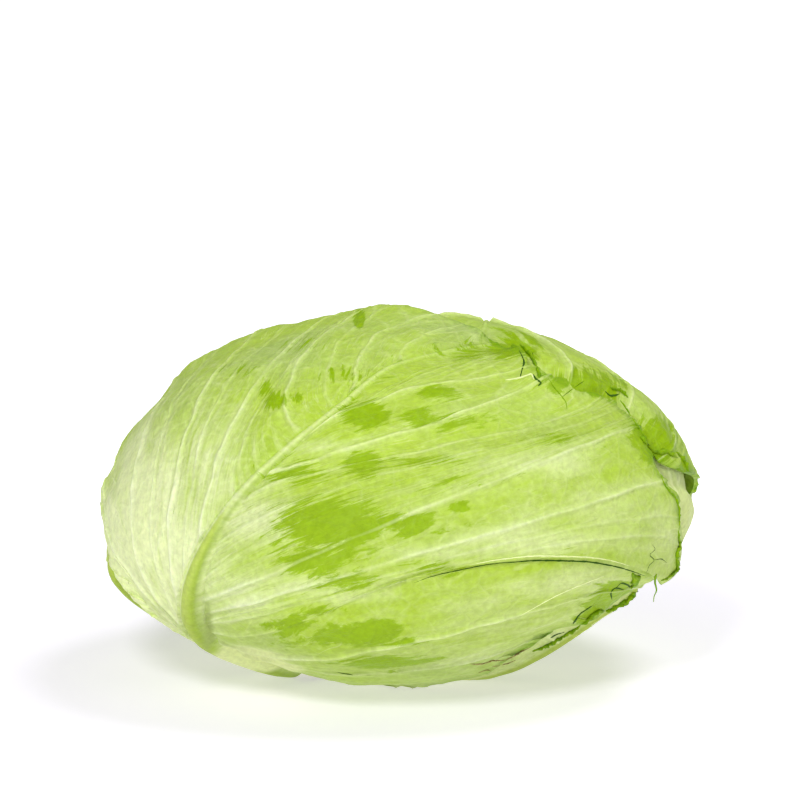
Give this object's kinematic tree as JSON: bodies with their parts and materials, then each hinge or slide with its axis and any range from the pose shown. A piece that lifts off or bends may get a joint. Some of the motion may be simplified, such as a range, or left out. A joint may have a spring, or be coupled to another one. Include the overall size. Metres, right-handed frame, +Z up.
{
  "type": "flat cabbage",
  "caption": "Flat-headed green cabbage lying on its base, with veined wrapper leaves, one of them torn, folded in layers over a dense heart and a cut stem.",
  "frame": {"origin": "middle of the flat spot under the head that it rests on, at the level of the surface", "axes": "+X along the head's width, away from the cut stem; +Y away from the front leaf, towards the far side; +Z up from the surface it rests on"},
  "size_m": [0.2216, 0.2025, 0.1363],
  "materials": {
    "leaf_front": "waxy green leaf, pale at its base",
    "leaf_back": "waxy dark green leaf",
    "leaf_right": "waxy pale green leaf",
    "leaf_left": "waxy green leaf",
    "leaf_inner": "waxy pale green leaf",
    "heart": "pale green, closely folded leaves",
    "stem": "moist cut stem, cream"
  },
  "bodies": {
    "root": {"leaf_front": "leaf_front", "leaf_back": "leaf_back", "leaf_right": "leaf_right", "leaf_left": "leaf_left", "leaf_inner": "leaf_inner", "heart": "heart", "stem": "stem"}
  },
  "joints": []
}
